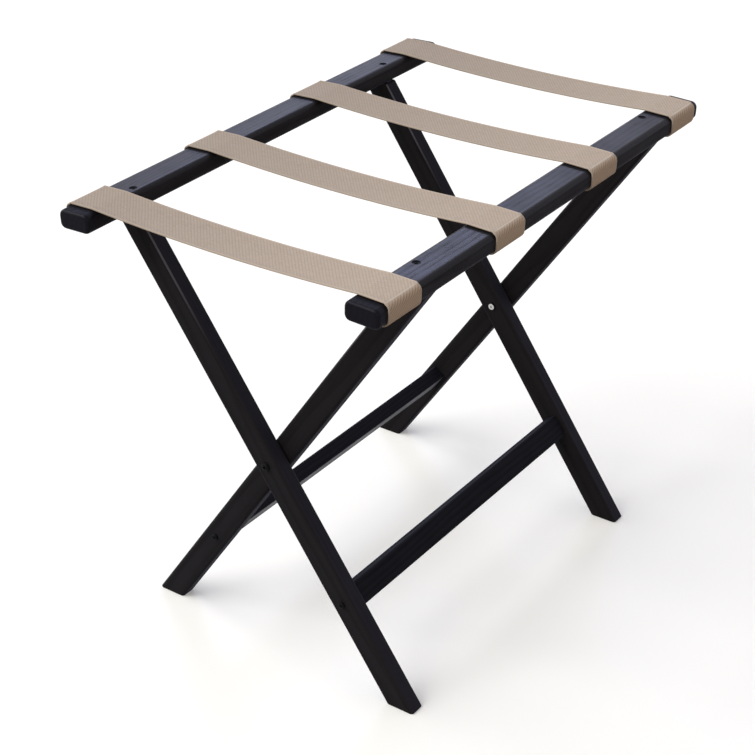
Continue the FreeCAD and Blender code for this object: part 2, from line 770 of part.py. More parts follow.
def make_frame(side, turn, outer_end, inner_end):
    """A rail, its two legs, its rung, their fasteners and the pivot that it carries."""
    return [
        make_rail(f"{side}_rail", turn),
        make_rail_screws(f"{side}_rail_screws", turn),
        make_leg(f"{side}_frame_{outer_end}_leg", turn, f"-{OUTER_LEG}", 1),
        make_leg(f"{side}_frame_{inner_end}_leg", turn, INNER_LEG, -1),
        make_rung(f"{side}_frame_rung", turn),
        make_rung_screws(f"{side}_frame_rung_screws", turn),
        make_rung_dowels(f"{side}_frame_rung_dowels", turn),
        make_pivot_bolt(f"{outer_end}_pivot_bolt", turn),
        make_pivot_nut(f"{outer_end}_pivot_nut", turn),
        make_pivot_washer(f"{outer_end}_pivot_washer", turn),
        make_staples(f"{side}_rail_staples", turn),
    ]


def check(pieces):
    """Stops if any object failed or a piece has no sound solid."""
    for item in doc.Objects:
        if "Invalid" in item.State or "Error" in item.State:
            raise RuntimeError(f"{item.Label}: {item.State}")
    for piece in pieces:
        shape = piece.Shape
        if shape.isNull() or not shape.isValid() or not shape.Solids:
            raise RuntimeError(f"{piece.Label}: no sound solid")


parts = make_frame("left", 0, "front", "back")
parts += make_frame("right", 180, "back", "front")
parts += [make_strap(name) for name in STRAP_PLACES]
doc.recompute()
check(parts)
os.makedirs("parts", exist_ok=True)
for part in parts:
    part.Shape.exportStep(f"parts/{part.Label}.step")
    print(part.Label, len(part.Shape.Solids), round(part.Shape.Volume, 1))
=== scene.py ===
"""Looks of the folding luggage rack: black stained wood, tan webbing and its fasteners.

Everything is in metres in the rack's own frame. X runs across the rack from the left rail
to the right one, Y along the rails from front to back, and Z up from the floor. The wood,
the screws and the pivots are the CAD nodes, which get their finishes here. The four
webbing straps are modelled here, round the rails that the CAD gives.
"""

from __future__ import annotations

import logging
import math
from collections.abc import Callable, Iterable
from dataclasses import dataclass, field
from enum import Enum
from typing import Any

import bmesh
import bpy
from mathutils import Euler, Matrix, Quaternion, Vector


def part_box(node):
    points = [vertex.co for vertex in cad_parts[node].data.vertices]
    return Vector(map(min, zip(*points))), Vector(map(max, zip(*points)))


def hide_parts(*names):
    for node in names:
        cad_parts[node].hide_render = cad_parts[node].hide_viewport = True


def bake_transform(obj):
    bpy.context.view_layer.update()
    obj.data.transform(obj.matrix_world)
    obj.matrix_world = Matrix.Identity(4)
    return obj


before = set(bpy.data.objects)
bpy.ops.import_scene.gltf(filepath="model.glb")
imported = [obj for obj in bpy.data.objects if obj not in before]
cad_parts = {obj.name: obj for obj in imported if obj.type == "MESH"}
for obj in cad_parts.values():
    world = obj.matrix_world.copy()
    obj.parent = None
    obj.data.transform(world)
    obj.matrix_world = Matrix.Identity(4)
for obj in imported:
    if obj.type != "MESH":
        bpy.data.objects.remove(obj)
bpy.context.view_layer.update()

IMAGE_WIDTH = 755
MICRONS = 1e6

Colour = tuple[float, float, float]
Span = tuple[float, float]
Row = tuple[int, int]
Inputs = dict[str | int, Any]
Material = bpy.types.Material
Piece = bpy.types.Object

WHITE: Colour = (1.0, 1.0, 1.0)

log = logging.getLogger("luggage_rack")


class Body(Enum):
    """The two frames that turn against each other."""

    LEFT = "left_frame"
    RIGHT = "right_frame"


class GrainRun(Enum):
    """Which way a piece's grain runs, as the turn that lays it along the pattern's X."""

    ALONG_RACK = (0.0, 0.0, -90.0)
    UP_LEFT_FRAME = (0.0, -55.4, 0.0)
    UP_RIGHT_FRAME = (0.0, 55.4, 0.0)

    def turn(self) -> Euler:
        """The turn as an Euler rotation in radians."""
        return Euler([math.radians(angle) for angle in self.value])

    @classmethod
    def of(cls, node: str) -> GrainRun:
        """The run of a node's grain: up its frame in a leg, and along the rack elsewhere."""
        leaning = cls.UP_LEFT_FRAME if node.startswith("left") else cls.UP_RIGHT_FRAME
        return leaning if node.endswith("_leg") else cls.ALONG_RACK


# ---- Node helpers and the effects that several finishes share ----


@dataclass(frozen=True)
class Wire:
    """A node's output, and the tree that it is in. Arithmetic on it adds Math nodes there."""

    nodes: Nodes
    socket: bpy.types.NodeSocket

    def __add__(self, other: Wire | float) -> Wire:
        """The sum of both."""
        return self.nodes.math("ADD", self, other)

    def __sub__(self, other: Wire | float) -> Wire:
        """This output less the other."""
        return self.nodes.math("SUBTRACT", self, other)

    def __rsub__(self, other: float) -> Wire:
        """A number less this output."""
        return self.nodes.math("SUBTRACT", other, self)

    def __mul__(self, other: Wire | float) -> Wire:
        """The product of both."""
        return self.nodes.math("MULTIPLY", self, other)

    def __truediv__(self, other: Wire | float) -> Wire:
        """This output divided by the other."""
        return self.nodes.math("DIVIDE", self, other)

    def __rtruediv__(self, other: float) -> Wire:
        """A number divided by this output."""
        return self.nodes.math("DIVIDE", other, self)

    def __abs__(self) -> Wire:
        """This output without its sign."""
        return self.nodes.math("ABSOLUTE", self)


@dataclass(frozen=True)
class Nodes:
    """The nodes of a material, a world or a node group."""

    tree: bpy.types.NodeTree

    def __post_init__(self) -> None:
        """Starts without any nodes."""
        self.tree.nodes.clear()

    def fill(self, node: Any, inputs: Inputs) -> None:
        """Links wires to a node's inputs, or sets the inputs' own values.

        Args:
            node: The node.
            inputs: For each input's name or number, a wire, a number or three numbers.
        """
        for name, value in inputs.items():
            target = node.inputs[name]
            if isinstance(value, Wire):
                self.tree.links.new(value.socket, target)
            elif target.type == "RGBA":
                target.default_value = (*value, 1.0)
            else:
                target.default_value = value

    def add(self, kind: str, inputs: Inputs | None = None, **settings: Any) -> Any:
        """Adds a node.

        Args:
            kind: The node's type name after "ShaderNode", such as "Math".
            inputs: What its inputs are filled with.
            **settings: Properties of the node itself.

        Returns:
            The new node.
        """
        node = self.tree.nodes.new(f"ShaderNode{kind}")
        for name, value in settings.items():
            setattr(node, name, value)
        self.fill(node, inputs or {})
        return node

    def wires(self, node: Any) -> dict[str, Wire]:
        """A node's outputs, by name."""
        return {output.name: Wire(self, output) for output in node.outputs}

    def read(self, kind: str, inputs: Inputs, output: int = 0, **settings: Any) -> Wire:
        """Adds a node and reads one of its outputs.

        Args:
            kind: The node's type name after "ShaderNode".
            inputs: What its inputs are filled with.
            output: The output's number.
            **settings: Properties of the node itself.

        Returns:
            The output.
        """
        return Wire(self, self.add(kind, inputs, **settings).outputs[output])

    def split(self, vector: Wire) -> list[Wire]:
        """A vector's X, Y and Z."""
        return list(self.wires(self.add("SeparateXYZ", {0: vector})).values())

    def math(self, operation: str, *terms: Wire | float, clamp: bool = False) -> Wire:
        """A Math node's result.

        Args:
            operation: The operation, such as "MULTIPLY".
            *terms: Its one, two or three inputs.
            clamp: True to keep the result between 0 and 1.

        Returns:
            The result.
        """
        return self.read("Math", dict(enumerate(terms)), operation=operation, use_clamp=clamp)

    def vector(self, operation: str, *terms: Any, output: int = 0) -> Wire:
        """A Vector Math node's result.

        Args:
            operation: The operation, such as "ADD".
            *terms: Its one or two inputs.
            output: 0 for a result that is a vector and 1 for a number.

        Returns:
            The result.
        """
        return self.read("VectorMath", dict(enumerate(terms)), output, operation=operation)

    def ramp(self, value: Wire, low: float, high: float, smooth: bool = True) -> Wire:
        """0 below low, 1 above high and a ramp between them.

        Args:
            value: The wire that is read.
            low: Where the ramp starts. It may be above high, and then the ramp falls.
            high: Where it ends.
            smooth: True for a ramp with rounded ends.

        Returns:
            The ramp.
        """
        inputs = {"Value": value, "From Min": low, "From Max": high}
        kind = "SMOOTHSTEP" if smooth else "LINEAR"
        return self.read("MapRange", inputs, interpolation_type=kind)

    def mix(self, share: Wire, first: Wire | Colour, second: Wire | Colour) -> Wire:
        """A colour between two colours.

        Args:
            share: 0 for the first colour and 1 for the second.
            first: A colour.
            second: Another.

        Returns:
            The mixed colour.
        """
        inputs = {0: share, 6: first, 7: second}
        return self.read("Mix", inputs, 2, data_type="RGBA", clamp_factor=True)

    def noise(self, vector: Wire, scale: Wire | float, detail: int, roughness: float) -> Wire:
        """A noise texture's value.

        Args:
            vector: Where it is read.
            scale: How many features there are in a metre.
            detail: How many finer layers are added.
            roughness: How strong the finer layers are.

        Returns:
            The noise, about 0.5.
        """
        inputs = {"Vector": vector, "Scale": scale, "Detail": detail, "Roughness": roughness}
        return self.read("TexNoise", inputs)

    def bump(self, height: Wire, distance: float, strength: float = 1.0) -> Wire:
        """The normal of a surface with some relief.

        Args:
            height: The relief, from 0 to 1.
            distance: How high 1 is, in metres.
            strength: The bump's strength.

        Returns:
            The normal.
        """
        return self.read("Bump", {"Height": height, "Distance": distance, "Strength": strength})


class Effect:
    """A shader node group that is built once and placed in each material that uses it.

    The group's inputs are numbers with a default value, or vectors where that is None.
    """

    name = "effect"
    inputs: dict[str, float | None] = {}

    def __init__(self) -> None:
        """Builds the group's inputs, its nodes and its outputs."""
        self.group = bpy.data.node_groups.new(self.name, "ShaderNodeTree")
        sockets = self.group.interface
        for label, default in self.inputs.items():
            kind = "NodeSocketVector" if default is None else "NodeSocketFloat"
            socket = sockets.new_socket(label, in_out="INPUT", socket_type=kind)
            if default is not None:
                socket.default_value = default
        self.nodes = Nodes(self.group)
        self.given = self.nodes.wires(self.group.nodes.new("NodeGroupInput"))
        self.results: dict[str, Wire] = {}
        self.wire()
        for label in self.results:
            sockets.new_socket(label, in_out="OUTPUT", socket_type="NodeSocketFloat")
        self.nodes.fill(self.group.nodes.new("NodeGroupOutput"), self.results)

    def wire(self) -> None:
        """Builds the nodes from the given inputs to the results, which are the outputs."""
        raise NotImplementedError

    def place(self, nodes: Nodes, **values: Any) -> dict[str, Wire]:
        """Places the group in a material.

        Args:
            nodes: The material's tree.
            **values: The group's inputs, their names in small letters with underscores.

        Returns:
            The group's outputs, by name.
        """
        inputs = {name.replace("_", " ").capitalize(): value for name, value in values.items()}
        return nodes.wires(nodes.add("Group", inputs, node_tree=self.group))


class OpenGrain(Effect):
    """Wood grain along X: growth bands, long fibres and the open pores between them."""

    name = "open_grain"
    inputs = {"Vector": None, "Band": 0.006, "Pore": 0.0007}
    wander_stretch = (1.3, 9, 9)
    fibre_stretch = (14, 620, 620)
    dashes_in_metre = 36.0
    lean = 0.35
    sway = 0.045

    def wire(self) -> None:
        """Builds bands that wander, fibres drawn out along X, and pores in the bands."""
        nodes, vector = self.nodes, self.given["Vector"]
        wander = nodes.noise(nodes.vector("MULTIPLY", vector, self.wander_stretch), 1.0, 3, 0.55)
        _, y, z = nodes.split(vector)
        rings = nodes.math("FRACT", (y + z * self.lean + wander * self.sway) / self.given["Band"])
        bands = nodes.ramp(rings, 0.0, 0.62) * nodes.ramp(rings, 1.0, 0.86)
        fibres = nodes.noise(nodes.vector("MULTIPLY", vector, self.fibre_stretch), 1.0, 3, 0.6)
        fineness = 1.0 / self.given["Pore"]
        cells = nodes.read("CombineXYZ", {0: self.dashes_in_metre, 1: fineness, 2: fineness})
        dashes = nodes.noise(nodes.vector("MULTIPLY", vector, cells), 1.0, 1, 0.4)
        early = nodes.ramp(nodes.ramp(bands, 0.75, 0.15), -0.6, 1.0)
        pores = nodes.math("MULTIPLY", nodes.ramp(dashes, 0.54, 0.72), early, clamp=True)
        height = (fibres - 0.5) * 0.35 - pores * 0.6
        self.results = {"Bands": bands, "Fibres": fibres, "Pores": pores, "Height": height}


class EdgeWear(Effect):
    """Where hands and knocks have rubbed a finish: along its arrises, in patches."""

    name = "edge_wear"
    inputs = {"Reach": 0.002, "Patches": 90.0, "Vector": None}

    def wire(self) -> None:
        """Compares the surface's normal with the one that a rounded edge would have."""
        nodes, given = self.nodes, self.given
        rounded = nodes.read("Bevel", {"Radius": given["Reach"]}, samples=6)
        plain = nodes.wires(nodes.add("NewGeometry"))["Normal"]
        edge = nodes.ramp(nodes.vector("DOT_PRODUCT", rounded, plain, output=1), 0.995, 0.93)
        patches = nodes.noise(given["Vector"], given["Patches"], 4, 0.6)
        self.results = {"Mask": edge * nodes.ramp(patches, 0.42, 0.66)}


class Handling(Effect):
    """Cloudy marks left by hands, and dust in fine specks, for a surface's gloss."""

    name = "handling"
    inputs = {"Vector": None, "Size": 0.04}
    specks_in_metre = 2600.0

    def wire(self) -> None:
        """Builds one slow noise for the clouds and one quick noise for the specks."""
        nodes, vector = self.nodes, self.given["Vector"]
        clouds = nodes.ramp(nodes.noise(vector, 1.0 / self.given["Size"], 5, 0.6), 0.32, 0.7)
        specks = nodes.ramp(nodes.noise(vector, self.specks_in_metre, 2, 0.5), 0.64, 0.74)
        self.results = {"Clouds": clouds, "Specks": specks}


class TwillWeave(Effect):
    """Webbing in twill: yarns along the strap that float over the cross threads in steps.

    The vector's X is the distance from the strap's centre line, and its Y runs along it.
    """

    name = "twill_weave"
    inputs = {
        "Vector": None, "Yarn": 0.00088, "Float": 0.00384, "Half width": 0.025, "Selvage": 0.0018,
    }
    pull = (0.0006, 0.0012, 0.0)
    pulls_in_metre = 55.0
    step = 0.2
    roundness = 2.4
    twist = (3400.0, 4200.0)
    pick = 0.0013
    edge_blur = 0.0002
    tallest = 0.8

    def wire(self) -> None:
        """Builds the yarns' round tops, their stepped floats and the plain selvages."""
        nodes, given, vector = self.nodes, self.given, self.given["Vector"]
        cloud = nodes.read("TexNoise", {"Vector": vector, "Scale": self.pulls_in_metre}, 1)
        drift = nodes.vector("MULTIPLY", nodes.vector("SUBTRACT", cloud, (0.5,) * 3), self.pull)
        across, along, _ = nodes.split(nodes.vector("ADD", vector, drift))
        cell = across / given["Yarn"]
        yarn = nodes.math("FLOOR", cell)
        side = (nodes.math("FRACT", cell) - 0.5) * 2.0
        crown = 1.0 - nodes.math("POWER", abs(side), self.roundness)
        stepped = along / given["Float"] + yarn * self.step
        swell = nodes.math("SINE", nodes.math("FRACT", stepped) * math.pi)
        strands = nodes.math("SINE", across * self.twist[0] + along * self.twist[1]) * 0.05
        top = nodes.ramp(swell, 0.1, 0.8)
        body = top * 0.45 + nodes.math("MULTIPLY_ADD", crown, 0.45, strands)
        out = abs(nodes.split(vector)[0]) - (given["Half width"] - given["Selvage"])
        edge = nodes.ramp(out, -self.edge_blur, self.edge_blur)
        selvage = nodes.math("SINE", along * (2 * math.pi / self.pick)) * 0.2 + 0.66
        height = nodes.read("Mix", {0: edge, 2: body, 3: selvage}, data_type="FLOAT")
        cells = nodes.read("CombineXYZ", {0: yarn, 1: nodes.math("FLOOR", stepped)})
        tint = nodes.read("TexWhiteNoise", {"Vector": cells}, noise_dimensions="2D")
        shade = nodes.ramp(height, 0.0, self.tallest, smooth=False)
        self.results = {"Height": height, "Shade": shade, "Heather": tint, "Edge": edge}


class Effects:
    """The shared effects, each built once."""

    def __init__(self) -> None:
        """Builds them all."""
        self.grain, self.wear = OpenGrain(), EdgeWear()
        self.handling, self.weave = Handling(), TwillWeave()


# ---- Finishes ----


@dataclass
class Coat:
    """A material under way, with a Principled shader on its output."""

    name: str
    effects: Effects

    def __post_init__(self) -> None:
        """Starts the material."""
        self.material = bpy.data.materials.new(self.name)
        self.material.use_nodes = True
        self.nodes = Nodes(self.material.node_tree)
        self.shader = self.nodes.add("BsdfPrincipled")
        surface = self.nodes.wires(self.shader)["BSDF"]
        self.nodes.add("OutputMaterial", {"Surface": surface})
        given = self.nodes.wires(self.nodes.add("TexCoord"))
        self.place, self.normal = given["Object"], given["Normal"]

    def finish(self, colour: Wire, roughness: Wire, normal: Wire, **others: Any) -> Material:
        """Fills the shader's inputs.

        Args:
            colour: The base colour.
            roughness: How rough the surface is.
            normal: The normal of its relief.
            **others: Other inputs, their names in small letters with underscores.

        Returns:
            The finished material.
        """
        inputs = {"Base Color": colour, "Roughness": roughness, "Normal": normal}
        for name, value in others.items():
            inputs[name.replace("_", " ").title().replace("Ior", "IOR")] = value
        self.nodes.fill(self.shader, inputs)
        return self.material


@dataclass(frozen=True)
class StainedWood:
    """Open-grained hardwood, stained black and given a thin satin coat.

    A facing is how far a surface points up, from -1 to 1, and a height is above the floor.
    Each span says where a change starts and where it is complete.
    """

    # Three colours below carry painted light: a bluish sheen on faces that point partly up, a
    # highlight along the legs' arrises just below the rails, and, beside darker end grain, shade
    # near the rails' ends.
    stain: Colour = (0.0096, 0.0086, 0.0086)
    pale_band: Colour = (0.013, 0.0118, 0.0124)
    rubbed: Colour = (0.04, 0.04, 0.05)
    # Darker end grain, and painted shade between the end straps and the rails' ends.
    end_stain_and_shade: Colour = (0.003, 0.0026, 0.005)
    # Painted bluish sheen on faces that point partly up.
    upper_side_sheen: Colour = (0.019, 0.0185, 0.026)
    # Painted highlight along the legs' arrises.
    edge_highlight: Colour = (0.13, 0.13, 0.155)
    band: float = 0.0065
    pore: float = 0.0007
    relief: float = 0.00009
    roughness: float = 0.35
    side_roughness: float = 0.76
    under_roughness: float = 0.76
    end_roughness: float = 0.66
    arris_roughness: float = 0.26
    top_facing: Span = (0.6, 0.97)
    upper_sheen_facing: Span = (0.42, 0.55)
    upright_facing: Span = (0.62, 0.45)
    rubbing_and_highlight_facing: Span = (-0.15, 0.15)
    under_facing: Span = (-0.4, -0.55)
    arris_squareness: Span = (0.955, 0.84)
    sawn_depth: Span = (0.0135, 0.0095)
    rubbing_and_highlight_height: Span = (0.26, 0.44)
    edge_height: Span = (0.34, 0.46)
    under_rail: Span = (0.482, 0.476)

    def material(self, coat: Coat, run: GrainRun, shift: Vector, end: float) -> Material:
        """One piece's wood, with its own stretch of grain.

        Args:
            coat: The material under way.
            run: Which way the grain runs.
            shift: How far along the plank this piece's pattern starts, in metres.
            end: How far along Y from the middle the piece's sawn ends are.

        Returns:
            The material.
        """
        nodes, place, effects = coat.nodes, coat.place, coat.effects
        _, lengthwise, height = nodes.split(place)
        facing = nodes.split(coat.normal)[2]
        turn = run.turn()
        along = nodes.read("Mapping", {"Vector": place, "Rotation": turn, "Location": shift})
        turned = nodes.split(nodes.read("Mapping", {"Vector": coat.normal, "Rotation": turn}))
        grain = effects.grain.place(nodes, vector=along, band=self.band, pore=self.pore)
        wear = effects.wear.place(nodes, reach=0.0022, patches=70.0, vector=along)["Mask"]
        marks = effects.handling.place(nodes, vector=place, size=0.05)

        polished = nodes.ramp(facing, *self.top_facing)
        sawn = nodes.ramp(abs(lengthwise), *(end - depth for depth in self.sawn_depth))
        squareness = abs(turned[0])
        for part in turned[1:]:
            squareness = nodes.math("MAXIMUM", squareness, abs(part))
        arris = nodes.ramp(squareness, *self.arris_squareness)
        # Arrises that face sideways, more of them higher up: smoother, and on the legs given a
        # painted highlight.
        high = nodes.ramp(height, *self.rubbing_and_highlight_height)
        rubbing_and_highlight = arris * nodes.math("MULTIPLY_ADD", high, 0.7, 0.3)
        rubbing_and_highlight = rubbing_and_highlight * nodes.ramp(facing, *self.rubbing_and_highlight_facing)
        upper_sheen = nodes.ramp(facing, *self.upper_sheen_facing) - polished
        upper_sheen = nodes.math("SUBTRACT", upper_sheen, arris, clamp=True)
        upright = nodes.ramp(facing, *self.upright_facing) * nodes.ramp(height, *self.edge_height)
        leg_highlight = upright * nodes.ramp(height, *self.under_rail)

        fibres = (grain["Fibres"] - 0.4) * 0.9
        streaks = nodes.math("ADD", grain["Bands"] * 0.7, fibres, clamp=True)
        tone = nodes.mix(streaks, self.stain, self.pale_band)
        tone = nodes.mix(wear * 0.45, tone, self.rubbed)
        # Painted sheen: faces that point partly up are lighter and bluer.
        tone = nodes.mix(upper_sheen * 0.8, tone, self.upper_side_sheen)
        # Painted highlight along the legs' arrises, just below the rails, gone lower down.
        tone = nodes.mix(rubbing_and_highlight * leg_highlight * 0.9, tone, self.edge_highlight)
        # Darker towards the rails' ends: end grain that takes more stain, and painted shade from
        # the straps on the rails' tops.
        tone = nodes.mix(sawn * 0.8, tone, self.end_stain_and_shade)

        side = self.side_roughness
        under = nodes.ramp(facing, *self.under_facing) * (self.under_roughness - side)
        base = nodes.math("MULTIPLY_ADD", polished, self.roughness - side, side) + under
        gloss = base + sawn * (self.end_roughness - base)
        gloss = gloss + grain["Pores"] * 0.12 + grain["Bands"] * -0.05
        gloss = gloss + rubbing_and_highlight * (self.arris_roughness - gloss)
        gloss = nodes.math("ADD", gloss, marks["Clouds"] * 0.06, clamp=True)
        return coat.finish(
            tone, gloss, nodes.bump(grain["Height"], self.relief),
            specular_ior_level=0.088, specular_tint=(0.84, 0.82, 0.96),
            sheen_weight=0.035, sheen_roughness=0.4, sheen_tint=(0.32, 0.42, 1.0),
        )


@dataclass(frozen=True)
class TanWebbing:
    """Heathered cotton webbing in twill, with plain selvages and sealed ends."""

    # Three colours below carry painted light: the crease's highlight, the light and shade of the
    # weave past it, and a falloff across the rack.
    yarn: Colour = (0.404, 0.325, 0.254)
    light_yarn: Colour = (0.462, 0.382, 0.308)
    between: Colour = (0.318, 0.248, 0.186)
    selvage: Colour = (0.52, 0.436, 0.352)
    sealed: Colour = (0.165, 0.12, 0.085)
    # Partly a worn fold, partly painted highlight along the crease.
    crease_wear_and_highlight: Colour = (0.6, 0.515, 0.43)
    # Painted light and shade on the weave past the crease: shaded gaps and lit yarns, in a warmer
    # tone.
    side_shaded_gap: Colour = (0.135, 0.085, 0.05)
    side_lit_yarn: Colour = (0.535, 0.412, 0.307)
    # Painted light falloff: lighter towards the right and a little towards the front.
    light_falloff: Colour = (0.64, -0.17, 0.0)
    light_falloff_middle: float = 0.945
    relief: float = 0.00018
    crease: float = 0.0012
    side_lighting_reach: float = 0.004
    seal: Span = (0.0026, 0.0012)

    def material(self, coat: Coat, strap: Strap) -> Material:
        """One strap's webbing, laid along it by its map.

        Args:
            coat: The material under way.
            strap: The strap, which gives the map's name, width and length.

        Returns:
            The material.
        """
        nodes = coat.nodes
        lay = nodes.read("UVMap", {}, uv_map=strap.map_name)
        out = abs(nodes.split(lay)[1])
        weave = coat.effects.weave.place(nodes, vector=lay, half_width=strap.width / 2)
        clouds = coat.effects.handling.place(nodes, vector=coat.place, size=0.03)["Clouds"]
        heather = nodes.mix(weave["Heather"], self.yarn, self.light_yarn)
        faded = nodes.mix(clouds * 0.35, heather, self.light_yarn)
        edged = nodes.mix(weave["Edge"] * 0.8, faded, self.selvage)

        half = strap.length / 2
        corner = half - strap.crease_at()
        # Past the crease, over the rails' sides and under them: painted raking light on the yarns
        # and painted shade in the gaps, in a warmer tone.
        side_lighting = nodes.ramp(out, corner, corner + self.side_lighting_reach)
        gap = nodes.mix(side_lighting, self.between, self.side_shaded_gap)
        side_lit = nodes.mix(side_lighting * (1.0 - weave["Edge"]), edged, self.side_lit_yarn)
        woven = nodes.mix(weave["Shade"], gap, side_lit)
        # Painted light falloff across the rack, lighter towards the right and a little towards
        # the front, as from a near lamp.
        lamp_falloff = nodes.vector("DOT_PRODUCT", coat.place, self.light_falloff, output=1) + self.light_falloff_middle
        lamp_lit = nodes.read("VectorMath", {0: woven, "Scale": lamp_falloff}, operation="SCALE")
        end = nodes.ramp(out, *(half - reach for reach in self.seal))
        # A light line along the crease over each rail's outer edge: partly a worn fold, partly
        # painted highlight.
        rubbed = nodes.ramp(abs(out - corner), self.crease, 0.0)
        crease_worn_and_lit = nodes.mix(rubbed * 0.75, lamp_lit, self.crease_wear_and_highlight)
        return coat.finish(
            nodes.mix(end, crease_worn_and_lit, self.sealed), 0.9 - weave["Shade"] * 0.12 - end * 0.3,
            nodes.bump(weave["Height"], self.relief, 0.9), specular_ior_level=0.25,
            sheen_weight=0.12, sheen_roughness=0.5, sheen_tint=(0.95, 0.88, 0.78),
        )


@dataclass(frozen=True)
class Metal:
    """A fastener's metal: its colour, how bright its rubbed edges are and its gloss."""

    colour: Colour
    rubbed: Colour
    roughness: float
    metallic: float
    wear: float = 0.5
    specular: float = 0.5
    rim: Colour = (0.012, 0.012, 0.013)
    rim_radius: float = 0.0037
    rim_blur: Span = (-0.0003, 0.0002)

    def material(self, coat: Coat, axis: Vector | None = None) -> Material:
        """The metal with faint turning marks, rubbed edges and handling marks.

        Args:
            coat: The material under way.
            axis: A point on the line along Y round which the colour turns dark outside
                rim_radius, if it has one.

        Returns:
            The material.
        """
        nodes, place, effects = coat.nodes, coat.place, coat.effects
        wear = effects.wear.place(nodes, reach=0.0005, patches=600.0, vector=place)["Mask"]
        marks = effects.handling.place(nodes, vector=place, size=0.004)
        tone = nodes.mix(wear * self.wear, self.colour, self.rubbed)
        # Darker outside rim_radius: a dark ring round the bright centre of the pivot nut.
        if axis is not None:
            level = nodes.vector("MULTIPLY", nodes.vector("SUBTRACT", place, axis), (1, 0, 1))
            radius = nodes.vector("LENGTH", level, output=1)
            painted = nodes.ramp(radius, *(self.rim_radius + blur for blur in self.rim_blur))
            tone = nodes.mix(painted, tone, self.rim)
        return coat.finish(
            tone, marks["Clouds"] * 0.12 + self.roughness,
            nodes.bump(nodes.noise(place, 3200.0, 2, 0.5), 0.00002, 0.6),
            metallic=self.metallic, specular_ior_level=self.specular,
        )


@dataclass(frozen=True)
class Plastic:
    """Moulded nylon with a faint texture."""

    colour: Colour = (0.02, 0.02, 0.021)
    pale: Colour = (0.03, 0.03, 0.032)
    roughness: float = 0.48

    def material(self, coat: Coat) -> Material:
        """The nylon, with a moulded texture and a little variation.

        Args:
            coat: The material under way.

        Returns:
            The material.
        """
        nodes, place = coat.nodes, coat.place
        marks = coat.effects.handling.place(nodes, vector=place, size=0.006)
        tone = nodes.mix(marks["Clouds"], self.colour, self.pale)
        grainy = nodes.bump(nodes.noise(place, 2400.0, 3, 0.6), 0.00003)
        return coat.finish(tone, marks["Specks"] * 0.2 + self.roughness, grainy)


@dataclass(frozen=True)
class BareBeech:
    """The unfinished beech of the dowels."""

    pale: Colour = (0.56, 0.395, 0.24)
    dark: Colour = (0.4, 0.262, 0.145)

    def material(self, coat: Coat) -> Material:
        """The beech, its grain along the rack.

        Args:
            coat: The material under way.

        Returns:
            The material.
        """
        nodes, turn = coat.nodes, GrainRun.ALONG_RACK.turn()
        along = nodes.read("Mapping", {"Vector": coat.place, "Rotation": turn})
        grain = coat.effects.grain.place(nodes, vector=along, band=0.0016, pore=0.0004)
        tone = nodes.mix(grain["Fibres"] * 0.9, self.pale, self.dark)
        relief = nodes.bump(grain["Height"], 0.00005)
        return coat.finish(tone, grain["Pores"] * 0.2 + 0.55, relief)


# ---- Modelling helpers ----


def deselect_all() -> None:
    """Leaves no object selected, in object mode."""
    if bpy.context.object and bpy.context.object.mode != "OBJECT":
        bpy.ops.object.mode_set(mode="OBJECT")
    bpy.ops.object.select_all(action="DESELECT")


def select_edges(piece: Piece, wanted: Callable[[Vector, Vector], bool]) -> None:
    """Selects a mesh's edges by their place, in edit mode, and nothing else.

    Args:
        piece: The object in edit mode.
        wanted: True for the two ends of an edge that is wanted.
    """
    bpy.ops.mesh.select_mode(type="EDGE")
    bpy.ops.mesh.select_all(action="DESELECT")
    for edge in bmesh.from_edit_mesh(piece.data).edges:
        if wanted(edge.verts[0].co, edge.verts[1].co):
            edge.select_set(True)
    bmesh.update_edit_mesh(piece.data)


def apply_modifier(piece: Piece, kind: str, **settings: Any) -> None:
    """Adds a modifier to the active object and applies it.

    Args:
        piece: The object, which is active and in object mode.
        kind: The modifier's type.
        **settings: Its properties.
    """
    modifier = piece.modifiers.new(kind.lower(), kind)
    for name, value in settings.items():
        setattr(modifier, name, value)
    bpy.ops.object.modifier_apply(modifier=modifier.name)


def give(piece: Piece, material: Material) -> Piece:
    """Gives a piece one material in place of its own.

    Args:
        piece: The piece.
        material: Its finish.

    Returns:
        The piece.
    """
    piece.data.materials.clear()
    piece.data.materials.append(material)
    return piece


# ---- Sub-assemblies ----


@dataclass(frozen=True)
class RailSection:
    """The left rail's rounded section, round which a strap is wrapped.

    Places in the section are measured from its middle: across, towards the middle of the
    rack, and up, square to its top.
    """

    centre: Vector
    width: float = 0.038
    thickness: float = 0.02
    edge_radius: float = 0.0065
    tilt: float = math.radians(2.0)

    @property
    def reach(self) -> float:
        """How far across the centres of the rounded edges are."""
        return self.width / 2 - self.edge_radius

    @property
    def rise(self) -> float:
        """How far up the centres of the rounded edges are."""
        return self.thickness / 2 - self.edge_radius

    def point(self, across: float, up: float, y: float = 0.0) -> Vector:
        """A place in the section, in the rack's frame.

        Args:
            across: How far it is towards the middle of the rack.
            up: How far it is up.
            y: Its place along the rack.

        Returns:
            The point.
        """
        x = across * math.cos(self.tilt) - up * math.sin(self.tilt)
        z = across * math.sin(self.tilt) + up * math.cos(self.tilt)
        return Vector((self.centre.x + x, y, self.centre.z + z))


